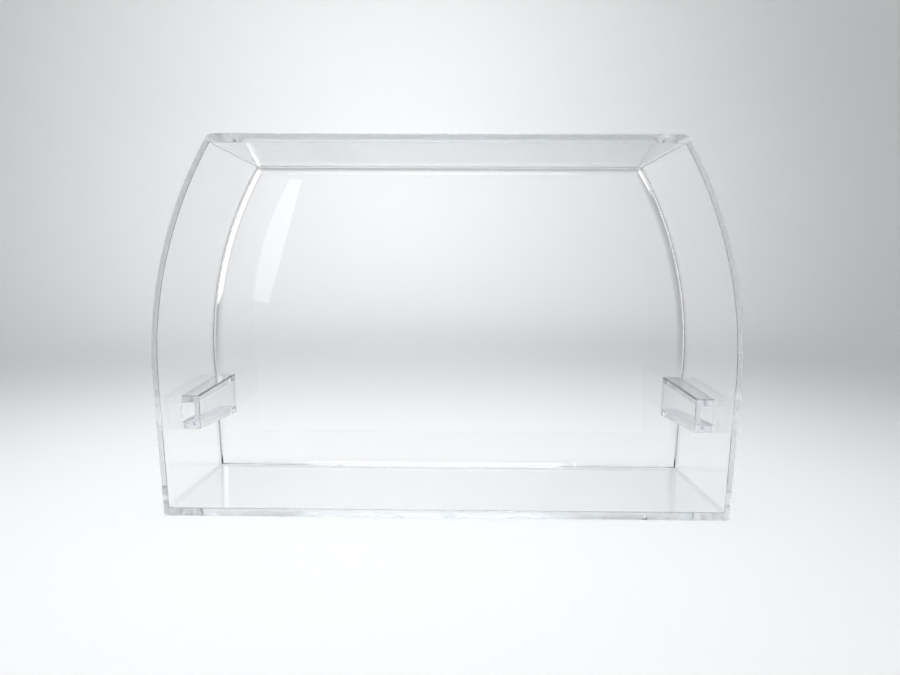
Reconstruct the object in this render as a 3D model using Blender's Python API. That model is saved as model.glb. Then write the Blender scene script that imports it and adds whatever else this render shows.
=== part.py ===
"""A clear open-fronted guard: a flat shield at the back, four walls that stand forward from
it, and a tapered guide channel on each end wall that slides over a host lug.

Metres, +Z up. The guard rests on its base with the open side towards -Y. The origin is at the
centre of the underside. Every wall draws in slightly from the rim to the shield.
"""

import math

import bmesh
import bpy

# Overall size
WIDTH = 0.300
DEPTH = 0.079
HEIGHT = 0.195
GAP = 0.0003

# Sheet thicknesses
END_THICK = 0.003
TOP_THICK = 0.0045
BASE_THICK = 0.0045
SHIELD_THICK = 0.003

# Outline of the guard, seen from the open side
WIDEST_HEIGHT = 0.078
FLARE = math.radians(1.8)
BOW_RADIUS = 0.222
TOP_CORNER_RADIUS = 0.005
BASE_CORNER_RADIUS = 0.0015
BOW_STEPS = 20
CORNER_STEPS = 5

# How much the outline has drawn in, as a share of its size, where it reaches the back
DRAW_X = 0.012
DRAW_Z = 0.013

# Hollow corner between the shield and the walls
COVE_RADIUS = 0.004
COVE_LIP = 0.0004
COVE_STEPS = 6

# Guide channels: each has an upper flange, a lower flange and a web that closes them
GUIDE_SETBACK = 0.024
GUIDE_HEIGHT_FRONT = 0.0496
GUIDE_HEIGHT_BACK = 0.0494
GUIDE_HALF_FRONT = 0.0094
GUIDE_HALF_BACK = 0.01225
GUIDE_WEB_FRONT = 0.1362
GUIDE_WEB_BACK = 0.1340
FLANGE_THICK = 0.0038
WEB_THICK = 0.0026
SEAT_DEPTH = 0.0001

FRONT = -DEPTH / 2
BACK = DEPTH / 2
SHIELD_FACE = BACK - SHIELD_THICK
GUIDE_FRONT = FRONT + GUIDE_SETBACK
GUIDE_BACK = SHIELD_FACE - GAP
BOW_CENTRE_X = WIDTH / 2 - BOW_RADIUS
CLEAR_OF_PART = 0.010

CLEAR = (0.93, 0.94, 0.97, 0.35)
SIDES = {"left": -1, "right": 1}


def clear_scene():
    for old in list(bpy.data.objects):
        bpy.data.objects.remove(old, do_unlink=True)


def new_collection(name):
    collection = bpy.data.collections.new(name)
    bpy.context.scene.collection.children.link(collection)
    return collection


def clear_plastic(name, roughness):
    material = bpy.data.materials.new(name)
    material.use_nodes = True
    shader = material.node_tree.nodes["Principled BSDF"]
    shader.inputs["Base Color"].default_value = CLEAR
    shader.inputs["Roughness"].default_value = roughness
    shader.inputs["Metallic"].default_value = 0.0
    shader.inputs["IOR"].default_value = 1.49
    shader.inputs["Transmission Weight"].default_value = 1.0
    return material


def arc(centre_x, centre_z, radius, start, end, steps):
    """Points on an arc in the outline's plane, both ends included."""
    points = []
    for step in range(steps + 1):
        angle = start + (end - start) * step / steps
        points.append((centre_x + radius * math.cos(angle), centre_z + radius * math.sin(angle)))
    return points


def side_x(height, inset=0.0):
    """Half the width of the straight lower part, at a height, with the outline moved in by inset."""
    tangent_height = WIDEST_HEIGHT - BOW_RADIUS * math.sin(FLARE)
    tangent_x = BOW_CENTRE_X + BOW_RADIUS * math.cos(FLARE)
    return tangent_x + (height - tangent_height) * math.tan(FLARE) - inset / math.cos(FLARE)


def bow_angle(height, inset=0.0):
    """The angle on the bowed part, from its widest point, where it reaches a height."""
    return math.asin((height - WIDEST_HEIGHT) / (BOW_RADIUS - inset))


def right_half(low, high, inset, base_corner, top_corner):
    """The right half of the outline moved in by inset, from the height low up to high."""
    points = [(side_x(low, inset), low)]
    if base_corner:
        centre_x = side_x(low, inset) - base_corner
        points = arc(centre_x, low + base_corner, base_corner, -math.pi / 2, 0.0, CORNER_STEPS)
    radius = BOW_RADIUS - inset
    if top_corner:
        rise = high - top_corner - WIDEST_HEIGHT
        run = math.sqrt((radius - top_corner) ** 2 - rise**2)
        end = math.atan2(rise, run)
        points += arc(BOW_CENTRE_X, WIDEST_HEIGHT, radius, -FLARE, end, BOW_STEPS)
        corner = arc(BOW_CENTRE_X + run, high - top_corner, top_corner, end, math.pi / 2, CORNER_STEPS)
        return points + corner[1:]
    return points + arc(BOW_CENTRE_X, WIDEST_HEIGHT, radius, -FLARE, bow_angle(high, inset), BOW_STEPS)


def both_halves(points):
    """A whole outline from its right half."""
    return points + [(-x, z) for x, z in reversed(points)]


def drawn_in(x, y, z):
    """Where a point of the straight-walled shape goes once the walls draw in to the shield."""
    share = (y - FRONT) / DEPTH
    return (x * (1.0 - DRAW_X * share), y, z * (1.0 - DRAW_Z * share))


def place(name, mesh, collection, material):
    piece = bpy.data.objects.new(name, mesh)
    collection.objects.link(piece)
    if material is None:
        piece.display_type = "WIRE"
        piece.hide_render = True
    else:
        mesh.materials.clear()
        mesh.materials.append(material)
    return piece


def extruded_outline(name, points, front, back):
    """A closed mesh: a flat outline in the XZ plane, filled and extruded from front to back."""
    curve = bpy.data.curves.new(name, "CURVE")
    curve.dimensions = "2D"
    curve.fill_mode = "BOTH"
    curve.extrude = (back - front) / 2
    spline = curve.splines.new("POLY")
    spline.points.add(len(points) - 1)
    for point, (x, z) in zip(spline.points, points):
        point.co = (x, z, 0.0, 1.0)
    spline.use_cyclic_u = True
    holder = bpy.data.objects.new(name, curve)
    holder.location = (0.0, (front + back) / 2, 0.0)
    holder.rotation_euler = (math.pi / 2, 0.0, 0.0)
    bpy.context.scene.collection.objects.link(holder)
    bpy.context.view_layer.update()
    ready = holder.evaluated_get(bpy.context.evaluated_depsgraph_get())
    mesh = bpy.data.meshes.new_from_object(ready)
    mesh.transform(holder.matrix_world)
    bpy.data.objects.remove(holder, do_unlink=True)
    bpy.data.curves.remove(curve)
    mesh.name = name
    return mesh


def finish_mesh(mesh, rounded_back=0.0):
    """Welds the caps, rounds the back edge if asked, draws the walls in and faces all outwards."""
    form = bmesh.new()
    form.from_mesh(mesh)
    bmesh.ops.remove_doubles(form, verts=form.verts, dist=0.00001)
    bmesh.ops.dissolve_limit(form, angle_limit=0.001, verts=form.verts, edges=form.edges)
    if rounded_back:
        back = max(vertex.co.y for vertex in form.verts)
        rim = [edge for edge in form.edges if all(abs(v.co.y - back) < GAP for v in edge.verts)]
        bmesh.ops.bevel(
            form, geom=rim, offset=rounded_back, segments=COVE_STEPS, profile=0.5, affect="EDGES"
        )
    for vertex in form.verts:
        vertex.co = drawn_in(*vertex.co)
    bmesh.ops.recalc_face_normals(form, faces=form.faces)
    form.to_mesh(mesh)
    form.free()


def tapered_bar(name, corners):
    """A closed mesh with flat faces: a cube whose corner (x, y, z), each -1 or 1, goes to corners(x, y, z)."""
    form = bmesh.new()
    bmesh.ops.create_cube(form, size=2.0)
    for vertex in form.verts:
        vertex.co = corners(*[int(round(value)) for value in vertex.co])
    bmesh.ops.recalc_face_normals(form, faces=form.faces)
    mesh = bpy.data.meshes.new(name)
    form.to_mesh(mesh)
    form.free()
    return mesh


def boolean(piece, tool, operation="DIFFERENCE"):
    change = piece.modifiers.new(f"{operation.lower()}_{tool.name}", "BOOLEAN")
    change.operation = operation
    change.solver = "EXACT"
    change.object = tool


def wall_face(height, y):
    """Half the clear width between the end walls' inner faces, at a height and a depth."""
    share = (y - FRONT) / DEPTH
    straight = height / (1.0 - DRAW_Z * share)
    return side_x(straight, END_THICK) * (1.0 - DRAW_X * share)


def along_guide(y, front_value, back_value):
    """A measure of the guide that changes evenly from its front end to its back end."""
    share = (y - GUIDE_FRONT) / (GUIDE_BACK - GUIDE_FRONT)
    return front_value + (back_value - front_value) * share


def guide_section(y):
    """The height of the guide's middle, half its outer height and its web's face, at a depth."""
    middle = along_guide(y, GUIDE_HEIGHT_FRONT, GUIDE_HEIGHT_BACK)
    half = along_guide(y, GUIDE_HALF_FRONT, GUIDE_HALF_BACK)
    web = along_guide(y, GUIDE_WEB_FRONT, GUIDE_WEB_BACK)
    return middle, half, web


def build_top(collection, material):
    underside = HEIGHT - TOP_THICK
    whole = right_half(BASE_THICK, HEIGHT, 0.0, 0.0, TOP_CORNER_RADIUS)
    edge_x = BOW_CENTRE_X + BOW_RADIUS * math.cos(bow_angle(underside))
    half = [(edge_x, underside)] + [point for point in whole if point[1] > underside + GAP]
    mesh = extruded_outline("top_panel", both_halves(half), FRONT, SHIELD_FACE - GAP)
    finish_mesh(mesh)
    return place("top_panel", mesh, collection, material)


def build_base(collection, material):
    corner = right_half(0.0, HEIGHT, 0.0, BASE_CORNER_RADIUS, 0.0)[: CORNER_STEPS + 1]
    half = corner + [(side_x(BASE_THICK), BASE_THICK)]
    mesh = extruded_outline("base_panel", both_halves(half), FRONT, SHIELD_FACE - GAP)
    finish_mesh(mesh)
    return place("base_panel", mesh, collection, material)


def build_end(name, side, collection, material, pocket):
    low = BASE_THICK + GAP
    high = HEIGHT - TOP_THICK - GAP
    outer = right_half(low, high, 0.0, 0.0, 0.0)
    inner = right_half(low, high, END_THICK, 0.0, 0.0)
    band = [(side * x, z) for x, z in outer + inner[::-1]]
    mesh = extruded_outline(name, band, FRONT, SHIELD_FACE - GAP)
    finish_mesh(mesh)
    panel = place(name, mesh, collection, material)
    boolean(panel, pocket)
    return panel


def inside_outline(inset):
    """The outline of the space between the walls, moved in by inset from their faces."""
    low = BASE_THICK + inset
    high = HEIGHT - TOP_THICK - inset
    return both_halves(right_half(low, high, END_THICK + inset, 0.0, 0.0))


def build_shield(collection, cutters, material, pockets, envelopes):
    outline = both_halves(
        right_half(0.0, HEIGHT, 0.0, BASE_CORNER_RADIUS, TOP_CORNER_RADIUS)
    )
    mesh = extruded_outline("shield_panel", outline, SHIELD_FACE, BACK)
    finish_mesh(mesh)
    panel = place("shield_panel", mesh, collection, material)
    rim_front = SHIELD_FACE - COVE_RADIUS + COVE_LIP
    rim = extruded_outline("cove_rim", inside_outline(GAP), rim_front, BACK - SHIELD_THICK / 2)
    finish_mesh(rim)
    boolean(panel, place("cove_rim", rim, cutters, None), "UNION")
    core = extruded_outline("cove_core", inside_outline(GAP + COVE_LIP), FRONT, SHIELD_FACE)
    finish_mesh(core, rounded_back=COVE_RADIUS)
    boolean(panel, place("cove_core", core, cutters, None))
    for tool in envelopes + pockets:
        boolean(panel, tool)
    return panel


def guide_cutters(side_name, side, cutters):
    """The pocket between the flanges, open outwards and backwards, and the guide's own envelope."""

    def pocket_corner(x, y, z):
        depth = GUIDE_FRONT if y < 0 else BACK + CLEAR_OF_PART
        middle, half, web = guide_section(depth)
        reach = web + WEB_THICK if x < 0 else WIDTH / 2 + CLEAR_OF_PART
        return (side * reach, depth, middle + z * (half - FLANGE_THICK))

    def envelope_corner(x, y, z):
        depth = GUIDE_FRONT if y < 0 else SHIELD_FACE + SEAT_DEPTH
        middle, half, web = guide_section(depth)
        reach = web - GAP if x < 0 else WIDTH / 2 + CLEAR_OF_PART
        return (side * reach, depth, middle + z * (half + GAP))

    pocket = tapered_bar(f"{side_name}_pocket", pocket_corner)
    envelope = tapered_bar(f"{side_name}_envelope", envelope_corner)
    return (
        place(f"{side_name}_pocket", pocket, cutters, None),
        place(f"{side_name}_envelope", envelope, cutters, None),
    )


def build_guide(side_name, side, collection, material):
    def flange(name, up):
        def corner(x, y, z):
            depth = GUIDE_FRONT if y < 0 else GUIDE_BACK
            middle, half, web = guide_section(depth)
            height = middle + up * (half if z == up else half - FLANGE_THICK)
            reach = web + WEB_THICK + GAP if x < 0 else wall_face(height, depth) - GAP
            return (side * reach, depth, height)

        return place(name, tapered_bar(name, corner), collection, material)

    def web_corner(x, y, z):
        depth = GUIDE_FRONT if y < 0 else GUIDE_BACK
        middle, half, web = guide_section(depth)
        return (side * (web if x < 0 else web + WEB_THICK), depth, middle + z * half)

    flange(f"{side_name}_guide_upper_flange", 1)
    flange(f"{side_name}_guide_lower_flange", -1)
    web_name = f"{side_name}_guide_web"
    place(web_name, tapered_bar(web_name, web_corner), collection, material)


def main():
    clear_scene()
    parts = new_collection("sneeze_guard")
    cutters = new_collection("cutters")
    pockets = []
    envelopes = []
    for side_name, side in SIDES.items():
        pocket, envelope = guide_cutters(side_name, side, cutters)
        pockets.append(pocket)
        envelopes.append(envelope)
        wall = clear_plastic(f"clear_{side_name}_end", 0.04)
        build_end(f"{side_name}_end_panel", side, parts, wall, pocket)
        build_guide(side_name, side, parts, clear_plastic(f"clear_{side_name}_guide", 0.06))
    build_shield(parts, cutters, clear_plastic("clear_shield", 0.03), pockets, envelopes)
    build_top(parts, clear_plastic("clear_top", 0.04))
    build_base(parts, clear_plastic("clear_base", 0.05))


main()
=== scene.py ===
"""Clear open-fronted guard on a pale sweep under soft studio light.

The hood is made as one clear shell, with lightly rounded rims and a cove where its walls meet the shield. It
is then cut along the CAD model's joints, so each wall and each strip of the two guide channels is a closed
piece of its own. Metres, +Z up, the open side towards -Y.
"""

import math

import bmesh
import bpy
from mathutils import Matrix, Vector


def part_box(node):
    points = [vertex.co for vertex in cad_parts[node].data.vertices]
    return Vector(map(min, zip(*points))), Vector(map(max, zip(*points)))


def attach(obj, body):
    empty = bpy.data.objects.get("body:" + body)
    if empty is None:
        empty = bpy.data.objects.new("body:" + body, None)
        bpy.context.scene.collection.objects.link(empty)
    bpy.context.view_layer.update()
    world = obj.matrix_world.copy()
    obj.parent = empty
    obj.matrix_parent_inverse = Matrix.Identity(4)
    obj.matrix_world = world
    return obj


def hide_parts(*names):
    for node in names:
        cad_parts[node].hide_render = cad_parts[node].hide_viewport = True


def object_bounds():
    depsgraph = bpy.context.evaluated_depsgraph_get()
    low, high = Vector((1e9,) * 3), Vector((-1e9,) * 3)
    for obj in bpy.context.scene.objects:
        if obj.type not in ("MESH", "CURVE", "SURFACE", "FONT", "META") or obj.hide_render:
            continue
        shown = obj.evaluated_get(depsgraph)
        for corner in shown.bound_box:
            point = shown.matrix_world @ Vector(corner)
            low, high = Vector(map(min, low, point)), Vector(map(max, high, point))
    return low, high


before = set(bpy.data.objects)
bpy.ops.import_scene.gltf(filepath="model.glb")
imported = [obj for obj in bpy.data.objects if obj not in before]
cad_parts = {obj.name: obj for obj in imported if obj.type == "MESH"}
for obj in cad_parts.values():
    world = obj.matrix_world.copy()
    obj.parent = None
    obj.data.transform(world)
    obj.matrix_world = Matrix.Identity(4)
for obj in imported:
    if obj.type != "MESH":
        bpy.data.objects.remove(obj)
CAD_BOX = [list(corner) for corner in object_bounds()]

FRONT = CAD_BOX[0][1]
BACK = CAD_BOX[1][1]
WIDTH = CAD_BOX[1][0] - CAD_BOX[0][0]
HEIGHT = CAD_BOX[1][2]
DEPTH = BACK - FRONT

# Walls
END_THICK = 0.003
TOP_THICK = 0.0045
BASE_THICK = 0.0045
SHIELD_THICK = 0.003
SHIELD_FACE = BACK - SHIELD_THICK

# Outline, seen from the open side: each end wall leans out by FLARE and runs into its bow, which is widest at
# WIDEST_HEIGHT
WIDEST_HEIGHT = 0.078
FLARE = math.radians(1.8)
BOW_RADIUS = 0.222
BOW_CENTRE_X = WIDTH / 2 - BOW_RADIUS
BOW_STEPS = 72

# Corner radii at the base and at the top. The inner corners are sharp: their radius keeps the mesh sound.
SHARP_CORNER = 0.00003
OUTER_CORNERS = (0.0018, 0.005)
INNER_CORNERS = (SHARP_CORNER, SHARP_CORNER)
LEAST_OUTER_CORNER = 0.0004
CORNER_STEPS = 8

# Share of its width and of its height by which the hood draws in, from its rim to its back
DRAW_X = 0.012
DRAW_Z = 0.013

# Rounding of the edges, and the cove between the shield and the walls
RIM_OUTER = 0.0004
RIM_INNER = 0.0003
BACK_EDGE = 0.0010
COVE = 0.004
ROUND_STEPS = 4
COVE_STEPS = 10

# Guide channels. A pair of numbers holds at the channel's front end and at the shield.
GUIDE_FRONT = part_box("right_guide_web")[0].y
GUIDE_BACK = SHIELD_FACE
GUIDE_HEIGHT = (0.0496, 0.0494)
GUIDE_HALF = (0.0094, 0.01225)
GUIDE_WEB = (0.1362, 0.1340)
FLANGE_THICK = 0.0038
WEB_THICK = 0.0026
GUIDE_ROUND = 0.0006
GUIDE_ROUND_STEPS = 3
POCKET_LEAD = 0.0002

# Small hollows in the rim, each a place and a radius: a gate's trace in the base, and a chip in the top
RIM_MARKS = (((0.1040, FRONT, 0.0012), 0.0012), ((-0.0518, FRONT, 0.1950), 0.0008))

# Cuts: the gap between two pieces, how far a cut stands off the face beside it, so that the two never lie in
# one plane, how far a cutting form reaches past the part, and the corner radii of the widest of those forms
JOINT_GAP = 0.00002
STAND_OFF = 0.0001
CLEAR_OF_PART = 0.02
ROOM_CORNERS = (0.004, 0.004)

# Clean-up: points this near to each other become one, and edges bent more sharply than this stay crisp
SAME_POINT = 0.000002
SAME_POINT_AFTER_CUTS = 0.000004
CRISP_EDGE = math.radians(32)
FLAT_FACE_WEIGHT = 80

# The plastic: styrene's index, the share of each colour left after a metre of it, and the share that a shadow
# ray or a bounced ray keeps at a face
STYRENE_INDEX = 1.57
LEFT_AFTER_A_METRE = (0.26, 0.38, 0.48, 1.0)
LEFT_AT_A_FACE = (0.975, 0.977, 0.98, 1.0)

# The paper round the part: a round floor, a bend and a wall
FLOOR_HEIGHT = -0.0001
FLOOR_REACH = 0.95
BEND_RADIUS = 0.55
BEND_STEPS = 16
PAPER_HEIGHT = 2.6
PAPER_TURNS = 96
PAPER_DARK = (0.86, 0.865, 0.87)
PAPER_LIGHT = (0.88, 0.885, 0.89)

# Softboxes: how wide they shine, in degrees, and the share of power they need because they shine no wider.
# The strip leans as the bow of the end wall does.
SOFTBOX_SPREAD = 60.0
SOFTBOX_SHARE = 0.093
STRIP_LEAN = math.radians(16.4)

# Camera: its lens in millimetres, its place, and how it is turned
CAMERA_LENS = 26.0
CAMERA_SENSOR = 36.0
CAMERA_PLACE = (0.0060, FRONT - 0.325, 0.136)
CAMERA_TURN = math.radians(0.69)
CAMERA_DOWN = math.radians(7.15)
CAMERA_ROLL = math.radians(0.27)

SIDES = {"left": -1, "right": 1}


def share_of_depth(y):
    return (y - FRONT) / DEPTH


def drawn_in(x, y, z):
    """Where a point of the straight-walled shape goes once the walls draw in to the shield."""
    share = share_of_depth(y)
    return (x * (1.0 - DRAW_X * share), y, z * (1.0 - DRAW_Z * share))


def arc(centre_x, centre_z, radius, start, end, steps):
    points = []
    for step in range(steps + 1):
        angle = start + (end - start) * step / steps
        points.append((centre_x + radius * math.cos(angle), centre_z + radius * math.sin(angle)))
    return points


def side_x(height, inset):
    """Half the width of the outline's straight lower part at a height, moved in by inset."""
    tangent_height = WIDEST_HEIGHT - BOW_RADIUS * math.sin(FLARE)
    tangent_x = BOW_CENTRE_X + BOW_RADIUS * math.cos(FLARE)
    return tangent_x + (height - tangent_height) * math.tan(FLARE) - inset / math.cos(FLARE)


def outline(inset, low, high, corners):
    """The closed outline with its sides moved in by inset, between two heights, with two corner radii."""
    base, top = corners
    start = (side_x(low + base, inset) - base, low + base)
    points = arc(start[0], start[1], base, -math.pi / 2, -FLARE, CORNER_STEPS)
    radius = BOW_RADIUS - inset
    rise = high - top - WIDEST_HEIGHT
    run = math.sqrt((radius - top) ** 2 - rise**2)
    end = math.atan2(rise, run)
    points += arc(BOW_CENTRE_X, WIDEST_HEIGHT, radius, -FLARE, end, BOW_STEPS)
    points += arc(BOW_CENTRE_X + run, high - top, top, end, math.pi / 2, CORNER_STEPS)[1:]
    return points + [(-x, z) for x, z in reversed(points)]


def outer_outline(inset):
    corners = [max(radius - inset, LEAST_OUTER_CORNER) for radius in OUTER_CORNERS]
    return outline(inset, inset, HEIGHT - inset, corners)


def inner_outline(inset):
    corners = [max(radius - inset, SHARP_CORNER) for radius in INNER_CORNERS]
    return outline(END_THICK + inset, BASE_THICK + inset, HEIGHT - TOP_THICK - inset, corners)


def quarter(radius, steps):
    """Points of a quarter circle: how far in and how far along, from along = radius down to along = 0."""
    angles = [math.pi / 2 * step / steps for step in range(steps + 1)]
    return [(radius * (1 - math.sin(a)), radius * (1 - math.cos(a))) for a in angles]


def lofted(name, rings):
    """A closed mesh through rings of equally many points, capped at both ends."""
    form = bmesh.new()
    made = [[form.verts.new(drawn_in(x, y, z)) for x, z in points] for y, points in rings]
    for ring, following in zip(made, made[1:]):
        for index, corner in enumerate(ring):
            after = (index + 1) % len(ring)
            form.faces.new((corner, ring[after], following[after], following[index]))
    form.faces.new(made[0])
    form.faces.new(made[-1])
    bmesh.ops.remove_doubles(form, verts=form.verts, dist=SAME_POINT)
    bmesh.ops.recalc_face_normals(form, faces=form.faces)
    mesh = bpy.data.meshes.new(name)
    form.to_mesh(mesh)
    form.free()
    return mesh


def hood_rings():
    """The whole hood from its back face, round the rim, and in to the front face of the shield."""
    rings = []
    for inward, along in quarter(BACK_EDGE, ROUND_STEPS):
        rings.append((BACK - along, outer_outline(inward)))
    for inward, along in reversed(quarter(RIM_OUTER, ROUND_STEPS)):
        rings.append((FRONT + along, outer_outline(inward)))
    for inward, along in quarter(RIM_INNER, ROUND_STEPS):
        rings.append((FRONT + along, inner_outline(-inward)))
    for inward, along in reversed(quarter(COVE, COVE_STEPS)):
        rings.append((SHIELD_FACE - along, inner_outline(inward)))
    return rings


def tapered_bar(name, corner_of, rounded=0.0):
    """A closed mesh: a cube whose corner (x, y, z), each -1 or 1, goes to corner_of(x, y, z)."""
    form = bmesh.new()
    bmesh.ops.create_cube(form, size=2.0)
    for vertex in form.verts:
        vertex.co = corner_of(*[int(round(value)) for value in vertex.co])
    bmesh.ops.recalc_face_normals(form, faces=form.faces)
    if rounded:
        bmesh.ops.bevel(
            form,
            geom=form.edges[:],
            offset=rounded,
            segments=GUIDE_ROUND_STEPS,
            profile=0.5,
            affect="EDGES",
        )
    mesh = bpy.data.meshes.new(name)
    form.to_mesh(mesh)
    form.free()
    return mesh


def along_guide(y, ends):
    """A measure at a depth, from its two values at the guide's ends."""
    share = (y - GUIDE_FRONT) / (GUIDE_BACK - GUIDE_FRONT)
    return ends[0] + (ends[1] - ends[0]) * share


def guide_section(y):
    """The height of the guide's middle, half its outer height and its web's inboard face, at a depth."""
    return along_guide(y, GUIDE_HEIGHT), along_guide(y, GUIDE_HALF), along_guide(y, GUIDE_WEB)


def wall_face(height, y):
    """Half the clear width between the end walls' inner faces, in their straight lower part."""
    share = share_of_depth(y)
    return side_x(height / (1.0 - DRAW_Z * share), END_THICK) * (1.0 - DRAW_X * share)


def guide_bar(side, near, far, reach_in, reach_out, low, high):
    """A corner rule for a bar along a guide, between the depths near and far.

    reach_in, low and high get the guide's section at the depth; reach_out gets the corner's height and depth.
    """

    def corner(x, y, z):
        depth = near if y < 0 else far
        section = guide_section(depth)
        height = high(*section) if z > 0 else low(*section)
        reach = reach_in(*section) if x < 0 else reach_out(height, depth)
        return (side * reach, depth, height)

    return corner


def new_object(mesh, material):
    mesh.materials.append(material)
    made = bpy.data.objects.new(mesh.name, mesh)
    bpy.context.scene.collection.objects.link(made)
    return made


def combined(name, base, tool, operation):
    """A new object: base with tool added, taken away, or kept in common."""
    made = bpy.data.objects.new(name, base.data.copy())
    bpy.context.scene.collection.objects.link(made)
    change = made.modifiers.new("combine", "BOOLEAN")
    change.operation = operation
    change.solver = "EXACT"
    change.material_mode = "TRANSFER"
    change.object = tool
    bpy.context.view_layer.update()
    ready = made.evaluated_get(bpy.context.evaluated_depsgraph_get())
    mesh = bpy.data.meshes.new_from_object(ready)
    made.modifiers.clear()
    old = made.data
    made.data = mesh
    mesh.name = name
    bpy.data.meshes.remove(old)
    return made


def drop(*objects):
    for one in objects:
        bpy.data.objects.remove(one, do_unlink=True)


def mark_rim(shell, clear, place, radius):
    """The shell with a small round hollow in its rim."""
    form = bmesh.new()
    bmesh.ops.create_icosphere(form, subdivisions=3, radius=radius, matrix=Matrix.Translation(place))
    mesh = bpy.data.meshes.new("mark")
    form.to_mesh(mesh)
    form.free()
    taken = new_object(mesh, clear)
    marked = combined("shell", shell, taken, "DIFFERENCE")
    drop(shell, taken)
    return marked


def build_shell(clear):
    """The whole hood in one clear solid, with the channels added and their pockets cut."""
    shell = new_object(lofted("shell", hood_rings()), clear)
    for side in SIDES.values():
        envelope = guide_bar(
            side,
            GUIDE_FRONT,
            GUIDE_BACK + SHIELD_THICK / 2,
            lambda middle, half, web: web,
            lambda height, depth: wall_face(height, depth) + END_THICK / 2,
            lambda middle, half, web: middle - half,
            lambda middle, half, web: middle + half,
        )
        pocket = guide_bar(
            side,
            GUIDE_FRONT - POCKET_LEAD,
            BACK + CLEAR_OF_PART,
            lambda middle, half, web: web + WEB_THICK,
            lambda height, depth: WIDTH / 2 + CLEAR_OF_PART,
            lambda middle, half, web: middle - half + FLANGE_THICK,
            lambda middle, half, web: middle + half - FLANGE_THICK,
        )
        added = new_object(tapered_bar("envelope", envelope, GUIDE_ROUND), clear)
        taken = new_object(tapered_bar("pocket", pocket), clear)
        fuller = combined("shell", shell, added, "UNION")
        cut = combined("shell", fuller, taken, "DIFFERENCE")
        drop(shell, added, taken, fuller)
        shell = cut
    for place, radius in RIM_MARKS:
        shell = mark_rim(shell, clear, place, radius)
    return shell


def shield_region(grow):
    """The shield's own room: behind its front face, and the hollow corner inside the walls."""
    wide = outline(-CLEAR_OF_PART, -CLEAR_OF_PART, HEIGHT + CLEAR_OF_PART, ROOM_CORNERS)
    inside = inner_outline(-3 * STAND_OFF - grow)
    face = SHIELD_FACE - STAND_OFF - grow
    rings = [(BACK + CLEAR_OF_PART, wide), (face, wide), (face, inside)]
    rings.append((SHIELD_FACE - COVE + 3 * STAND_OFF - grow, inside))
    return lofted("shield_region", rings)


def slab_region(name, low, high):
    """A slab that draws in with the walls, between two heights."""

    def corner(x, y, z):
        depth = FRONT - CLEAR_OF_PART if y < 0 else BACK + CLEAR_OF_PART
        shift = 1.0 - DRAW_Z * share_of_depth(depth)
        return (x * WIDTH, depth, (high if z > 0 else low) * shift)

    return tapered_bar(name, corner)


def side_region(side):
    """All the room on one side of the middle, clear of the middle itself."""

    def corner(x, y, z):
        reach = CLEAR_OF_PART if x < 0 else WIDTH
        return (side * reach, y * DEPTH, HEIGHT * (1 + z))

    return tapered_bar("side_region", corner)


def guide_region(side, grow):
    """A channel's own room, inboard of its end wall and in front of the shield."""
    room = STAND_OFF + grow
    corner = guide_bar(
        side,
        GUIDE_FRONT - room,
        GUIDE_BACK - 3 * STAND_OFF + grow,
        lambda middle, half, web: web - room,
        lambda height, depth: wall_face(height, depth) - STAND_OFF + grow,
        lambda middle, half, web: middle - half - room,
        lambda middle, half, web: middle + half + room,
    )
    return tapered_bar("guide_region", corner)


def web_region(side, grow):
    """The room inboard of the pocket's floor, which is the web's outer face."""
    corner = guide_bar(
        side,
        GUIDE_FRONT - CLEAR_OF_PART,
        GUIDE_BACK + CLEAR_OF_PART,
        lambda middle, half, web: web - CLEAR_OF_PART,
        lambda height, depth: guide_section(depth)[2] + WEB_THICK + STAND_OFF + grow,
        lambda middle, half, web: middle - half - CLEAR_OF_PART,
        lambda middle, half, web: middle + half + CLEAR_OF_PART,
    )
    return tapered_bar("web_region", corner)


def common(source, mesh, name, bonded):
    """What source has inside mesh; the cut faces are bonded ones."""
    tool = new_object(mesh, bonded)
    made = combined(name, source, tool, "INTERSECT")
    drop(tool)
    return made


def without(source, mesh, name, bonded):
    """What source has outside mesh; the cut faces are bonded ones."""
    tool = new_object(mesh, bonded)
    made = combined(name, source, tool, "DIFFERENCE")
    drop(tool)
    return made


def cut_channel(guide, side_name, side, bonded):
    """A channel cut into its web and its two flanges."""
    pieces = {}
    name = f"{side_name}_guide_web"
    pieces[name] = common(guide, web_region(side, 0.0), name, bonded)
    strips = without(guide, web_region(side, JOINT_GAP), "strips", bonded)
    middle = sum(GUIDE_HEIGHT) / 2
    for level, low, high in (("upper", middle, HEIGHT), ("lower", -CLEAR_OF_PART, middle)):
        name = f"{side_name}_guide_{level}_flange"
        pieces[name] = common(strips, slab_region("level", low, high), name, bonded)
    drop(strips)
    return pieces


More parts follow.
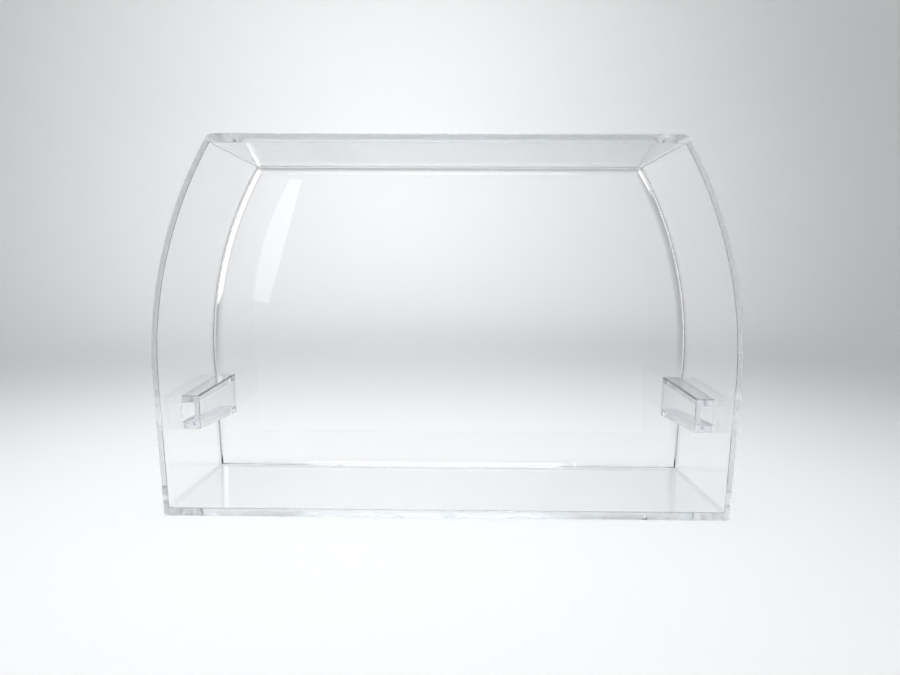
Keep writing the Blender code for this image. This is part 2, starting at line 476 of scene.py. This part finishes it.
def cut_into_pieces(shell, bonded):
    """The shell cut along the CAD model's joints, each cut a hair wide."""
    pieces = {}
    for side_name, side in SIDES.items():
        guide = common(shell, guide_region(side, 0.0), "guide", bonded)
        rest = without(shell, guide_region(side, JOINT_GAP), "rest", bonded)
        pieces.update(cut_channel(guide, side_name, side, bonded))
        drop(shell, guide)
        shell = rest
    pieces["shield_panel"] = common(shell, shield_region(0.0), "shield_panel", bonded)
    walls = without(shell, shield_region(JOINT_GAP), "walls", bonded)
    base_top = BASE_THICK + STAND_OFF
    underside = HEIGHT - TOP_THICK - STAND_OFF
    above = HEIGHT + CLEAR_OF_PART
    base = slab_region("base", -CLEAR_OF_PART, base_top)
    pieces["base_panel"] = common(walls, base, "base_panel", bonded)
    pieces["top_panel"] = common(walls, slab_region("top", underside, above), "top_panel", bonded)
    ends = common(
        walls, slab_region("ends", base_top + JOINT_GAP, underside - JOINT_GAP), "ends", bonded
    )
    for side_name, side in SIDES.items():
        name = f"{side_name}_end_panel"
        pieces[name] = common(ends, side_region(side), name, bonded)
    drop(shell, walls, ends)
    return pieces


def shade(piece):
    """Smooth curved faces, true flat ones, and crisp joints."""
    mesh = piece.data
    form = bmesh.new()
    form.from_mesh(mesh)
    bmesh.ops.remove_doubles(form, verts=form.verts, dist=SAME_POINT_AFTER_CUTS)
    bmesh.ops.dissolve_degenerate(form, dist=SAME_POINT, edges=form.edges)
    form.to_mesh(mesh)
    form.free()
    mesh.shade_smooth()
    mesh.set_sharp_from_angle(angle=CRISP_EDGE)
    weigh = piece.modifiers.new("weighted_normals", "WEIGHTED_NORMAL")
    weigh.weight = FLAT_FACE_WEIGHT
    weigh.keep_sharp = True


def add_node(tree, kind, **sockets):
    """A new shader node with its sockets set; an underscore in a keyword stands for a space."""
    node = tree.nodes.new(kind)
    for name, value in sockets.items():
        node.inputs[name.replace("_", " ")].default_value = value
    return node


def new_material(name):
    material = bpy.data.materials.new(name)
    material.use_nodes = True
    return material


def blended(tree, share, first, second):
    """A mix of two shaders: second by share, first by the rest."""
    mix = tree.nodes.new("ShaderNodeMixShader")
    tree.links.new(share, mix.inputs["Fac"])
    tree.links.new(first, mix.inputs[1])
    tree.links.new(second, mix.inputs[2])
    return mix.outputs["Shader"]


def clear_plastic(name, roughness, scuff, ripple, painted_shade=(1.0, 1.0, 1.0)):
    """Clear moulded styrene: a faint cool tint, scuffs in its roughness and slow ripples in its faces."""
    material = new_material(name)
    tree = material.node_tree
    link = tree.links.new
    tree.nodes.remove(tree.nodes["Principled BSDF"])
    shader = add_node(tree, "ShaderNodeBsdfGlass", IOR=STYRENE_INDEX)
    path = add_node(tree, "ShaderNodeLightPath")
    place = add_node(tree, "ShaderNodeTexCoord")

    # Light that has crossed the plastic is tinted by the length of its way through it
    inside = add_node(tree, "ShaderNodeNewGeometry")
    dimmed = add_node(tree, "ShaderNodeGamma", Color=LEFT_AFTER_A_METRE)
    link(path.outputs["Ray Length"], dimmed.inputs["Gamma"])
    tint = add_node(tree, "ShaderNodeMix")
    tint.data_type = "RGBA"
    # Front faces take the given colour: white leaves them clear, and the guides' darker, bluer colour is
    # painted shade
    tint.inputs["A"].default_value = (*painted_shade, 1.0)
    link(inside.outputs["Backfacing"], tint.inputs["Factor"])
    link(dimmed.outputs["Color"], tint.inputs["B"])
    link(tint.outputs["Result"], shader.inputs["Color"])

    smudge = add_node(tree, "ShaderNodeTexNoise", Scale=22.0, Detail=5.0)
    link(place.outputs["Object"], smudge.inputs["Vector"])
    spread = add_node(
        tree,
        "ShaderNodeMapRange",
        From_Min=0.50,
        From_Max=0.80,
        To_Min=roughness,
        To_Max=roughness + scuff,
    )
    link(smudge.outputs["Fac"], spread.inputs["Value"])
    link(spread.outputs["Result"], shader.inputs["Roughness"])

    flow = add_node(tree, "ShaderNodeTexNoise", Scale=9.0, Detail=1.0, Distortion=0.6)
    link(place.outputs["Object"], flow.inputs["Vector"])
    bump = add_node(tree, "ShaderNodeBump", Strength=1.0, Distance=ripple)
    link(flow.outputs["Fac"], bump.inputs["Height"])
    link(bump.outputs["Normal"], shader.inputs["Normal"])

    # Bounced and shadow rays go straight through, so light reaches what stands in and behind the guard
    through = add_node(tree, "ShaderNodeBsdfTransparent", Color=LEFT_AT_A_FACE).outputs["BSDF"]
    bounced = blended(tree, path.outputs["Is Diffuse Ray"], shader.outputs["BSDF"], through)
    shadowed = blended(tree, path.outputs["Is Shadow Ray"], bounced, through)
    link(shadowed, tree.nodes["Material Output"].inputs["Surface"])
    return material


def bonded_faces():
    """Faces where two pieces are bonded: they don't show, because the bond has the plastic's own index."""
    material = new_material("bonded")
    tree = material.node_tree
    tree.nodes.remove(tree.nodes["Principled BSDF"])
    through = add_node(tree, "ShaderNodeBsdfTransparent", Color=(1.0, 1.0, 1.0, 1.0))
    tree.links.new(through.outputs["BSDF"], tree.nodes["Material Output"].inputs["Surface"])
    return material


def slot_for(name):
    """The record's slot for a piece."""
    if name == "shield_panel":
        return "clear_shield"
    return "clear_guide" if "guide" in name else "clear_wall"


def make_finishes():
    """The material of each slot: walls and guides are a little less polished than the shield; the guides'
    darker, bluer colour is painted shade.
    """
    shield = clear_plastic("shield_plastic", roughness=0.0, scuff=0.02, ripple=0.000008)
    wall = clear_plastic("wall_plastic", roughness=0.08, scuff=0.04, ripple=0.000005)
    # The guides' colour is painted shade: a darker, bluer copy of the same plastic, standing in for the shade
    # on their webs
    guide = clear_plastic(
        "guide_plastic", roughness=0.12, scuff=0.05, ripple=0.000005, painted_shade=(0.94, 0.95, 0.965)
    )
    return {"clear_shield": shield, "clear_wall": wall, "clear_guide": guide}


def dress_pieces(pieces, shell_clear):
    """Give each piece its finish and its slot, and let it stand for its CAD node."""
    finishes = make_finishes()
    for name, piece in pieces.items():
        slot = slot_for(name)
        piece.name = f"{name}_clear"
        piece.data.name = piece.name
        for index, material in enumerate(piece.data.materials):
            if material == shell_clear:
                piece.data.materials[index] = finishes[slot]
        shade(piece)
        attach(piece, "root")
        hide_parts(name)


def sweep_material():
    """Matt paper with soft, barely darker patches."""
    material = new_material("sweep_paper")
    tree = material.node_tree
    shader = tree.nodes["Principled BSDF"]
    shader.inputs["Roughness"].default_value = 0.85
    shader.inputs["Specular IOR Level"].default_value = 0.15
    place = add_node(tree, "ShaderNodeTexCoord")
    patches = add_node(tree, "ShaderNodeTexNoise", Scale=3.0)
    tree.links.new(place.outputs["Object"], patches.inputs["Vector"])
    ramp = add_node(tree, "ShaderNodeValToRGB")
    ramp.color_ramp.elements[0].color = (*PAPER_DARK, 1.0)
    ramp.color_ramp.elements[1].color = (*PAPER_LIGHT, 1.0)
    tree.links.new(patches.outputs["Fac"], ramp.inputs["Fac"])
    tree.links.new(ramp.outputs["Color"], shader.inputs["Base Color"])
    return material


def build_sweep():
    """A round bay: a flat floor that curves up into a wall on all sides."""
    profile = [(FLOOR_REACH, FLOOR_HEIGHT)]
    for step in range(1, BEND_STEPS + 1):
        angle = math.pi / 2 * step / BEND_STEPS
        reach = FLOOR_REACH + BEND_RADIUS * math.sin(angle)
        profile.append((reach, BEND_RADIUS * (1 - math.cos(angle))))
    profile.append((FLOOR_REACH + BEND_RADIUS, PAPER_HEIGHT))
    form = bmesh.new()
    rings = []
    for reach, z in profile:
        ring = []
        for turn in range(PAPER_TURNS):
            angle = 2 * math.pi * turn / PAPER_TURNS
            ring.append(form.verts.new((reach * math.cos(angle), reach * math.sin(angle), z)))
        rings.append(ring)
    form.faces.new(rings[0])
    for ring, following in zip(rings, rings[1:]):
        for index in range(PAPER_TURNS):
            after = (index + 1) % PAPER_TURNS
            form.faces.new((ring[index], ring[after], following[after], following[index]))
    bmesh.ops.recalc_face_normals(form, faces=form.faces)
    mesh = bpy.data.meshes.new("sweep")
    form.to_mesh(mesh)
    form.free()
    mesh.shade_smooth()
    mesh.flip_normals()
    new_object(mesh, sweep_material())


def area_light(name, place, aim, size, watts, spread):
    """A plain rectangular lamp that shines from place towards aim; spread is in degrees."""
    light = bpy.data.lights.new(name, "AREA")
    light.shape = "RECTANGLE"
    light.size, light.size_y = size
    light.energy = watts
    light.spread = math.radians(spread)
    lamp = bpy.data.objects.new(name, light)
    lamp.location = place
    lamp.rotation_euler = (Vector(aim) - Vector(place)).to_track_quat("-Z", "Y").to_euler()
    bpy.context.scene.collection.objects.link(lamp)
    return lamp


def softbox(name, place, aim, size, glow):
    """An even light that shows only in and through the plastic; glow is its brightness."""
    watts = glow * math.pi * size[0] * size[1] * SOFTBOX_SHARE
    lamp = area_light(name, place, aim, size, watts, SOFTBOX_SPREAD)
    lamp.visible_camera = False
    return lamp


def add_lights():
    """Light on the part and up the paper behind it, and softboxes that show in its coves and its gloss."""
    area_light("overhead", (-0.05, -0.05, 1.1), (-0.05, -0.05, 0.0), (0.6, 0.6), 1.30, 60.0)
    area_light("backdrop_glow", (-0.12, -0.1, 1.3), (-0.16, 1.5, 0.25), (0.4, 0.4), 2.8, 72.0)
    area_light("backdrop_wide", (-0.05, -0.1, 1.3), (-0.05, 1.5, 0.85), (0.4, 0.4), 1.60, 120.0)
    softbox("left_softbox", (-0.85, 0.80, 0.34), (0.0, 0.0, 0.15), (0.45, 0.50), 1.35)
    softbox("right_softbox", (0.80, 0.80, 0.62), (0.0, 0.0, 0.17), (0.25, 0.25), 1.35)
    strip = softbox("strip", (-0.348, -0.816, 0.1655), (-0.348, 0.0, 0.1655), (0.045, 0.245), 2.1)
    upright = Matrix.Rotation(math.pi / 2, 3, "X")
    strip.rotation_euler = (Matrix.Rotation(STRIP_LEAN, 3, "Y") @ upright).to_euler()


def set_up_world():
    """A dim even surround, plain colours, and enough bounces for light to leave the plastic again."""
    scene = bpy.context.scene
    world = bpy.data.worlds.new("studio")
    world.use_nodes = True
    surround = world.node_tree.nodes["Background"]
    surround.inputs["Color"].default_value = (0.98, 0.99, 1.0, 1.0)
    surround.inputs["Strength"].default_value = 0.6
    scene.world = world
    scene.view_settings.view_transform = "Standard"
    scene.cycles.caustics_reflective = False
    scene.cycles.caustics_refractive = False
    scene.cycles.max_bounces = 40
    scene.cycles.transmission_bounces = 40
    scene.cycles.glossy_bounces = 12
    scene.cycles.transparent_max_bounces = 40


def place_camera():
    """In front of the open side, a little to the right, looking slightly down."""
    data = bpy.data.cameras.new("camera")
    data.lens = CAMERA_LENS
    data.sensor_width = CAMERA_SENSOR
    data.clip_start = 0.01
    camera = bpy.data.objects.new("camera", data)
    camera.location = CAMERA_PLACE
    turn = Matrix.Rotation(CAMERA_TURN, 4, "Z")
    pitch = Matrix.Rotation(math.pi / 2 - CAMERA_DOWN, 4, "X")
    roll = Matrix.Rotation(CAMERA_ROLL, 4, "Z")
    camera.rotation_euler = (turn @ pitch @ roll).to_euler()
    bpy.context.scene.collection.objects.link(camera)
    bpy.context.scene.camera = camera


def main():
    shell_clear = bpy.data.materials.new("shell_clear")
    pieces = cut_into_pieces(build_shell(shell_clear), bonded_faces())
    dress_pieces(pieces, shell_clear)
    build_sweep()
    set_up_world()
    add_lights()
    place_camera()


main()
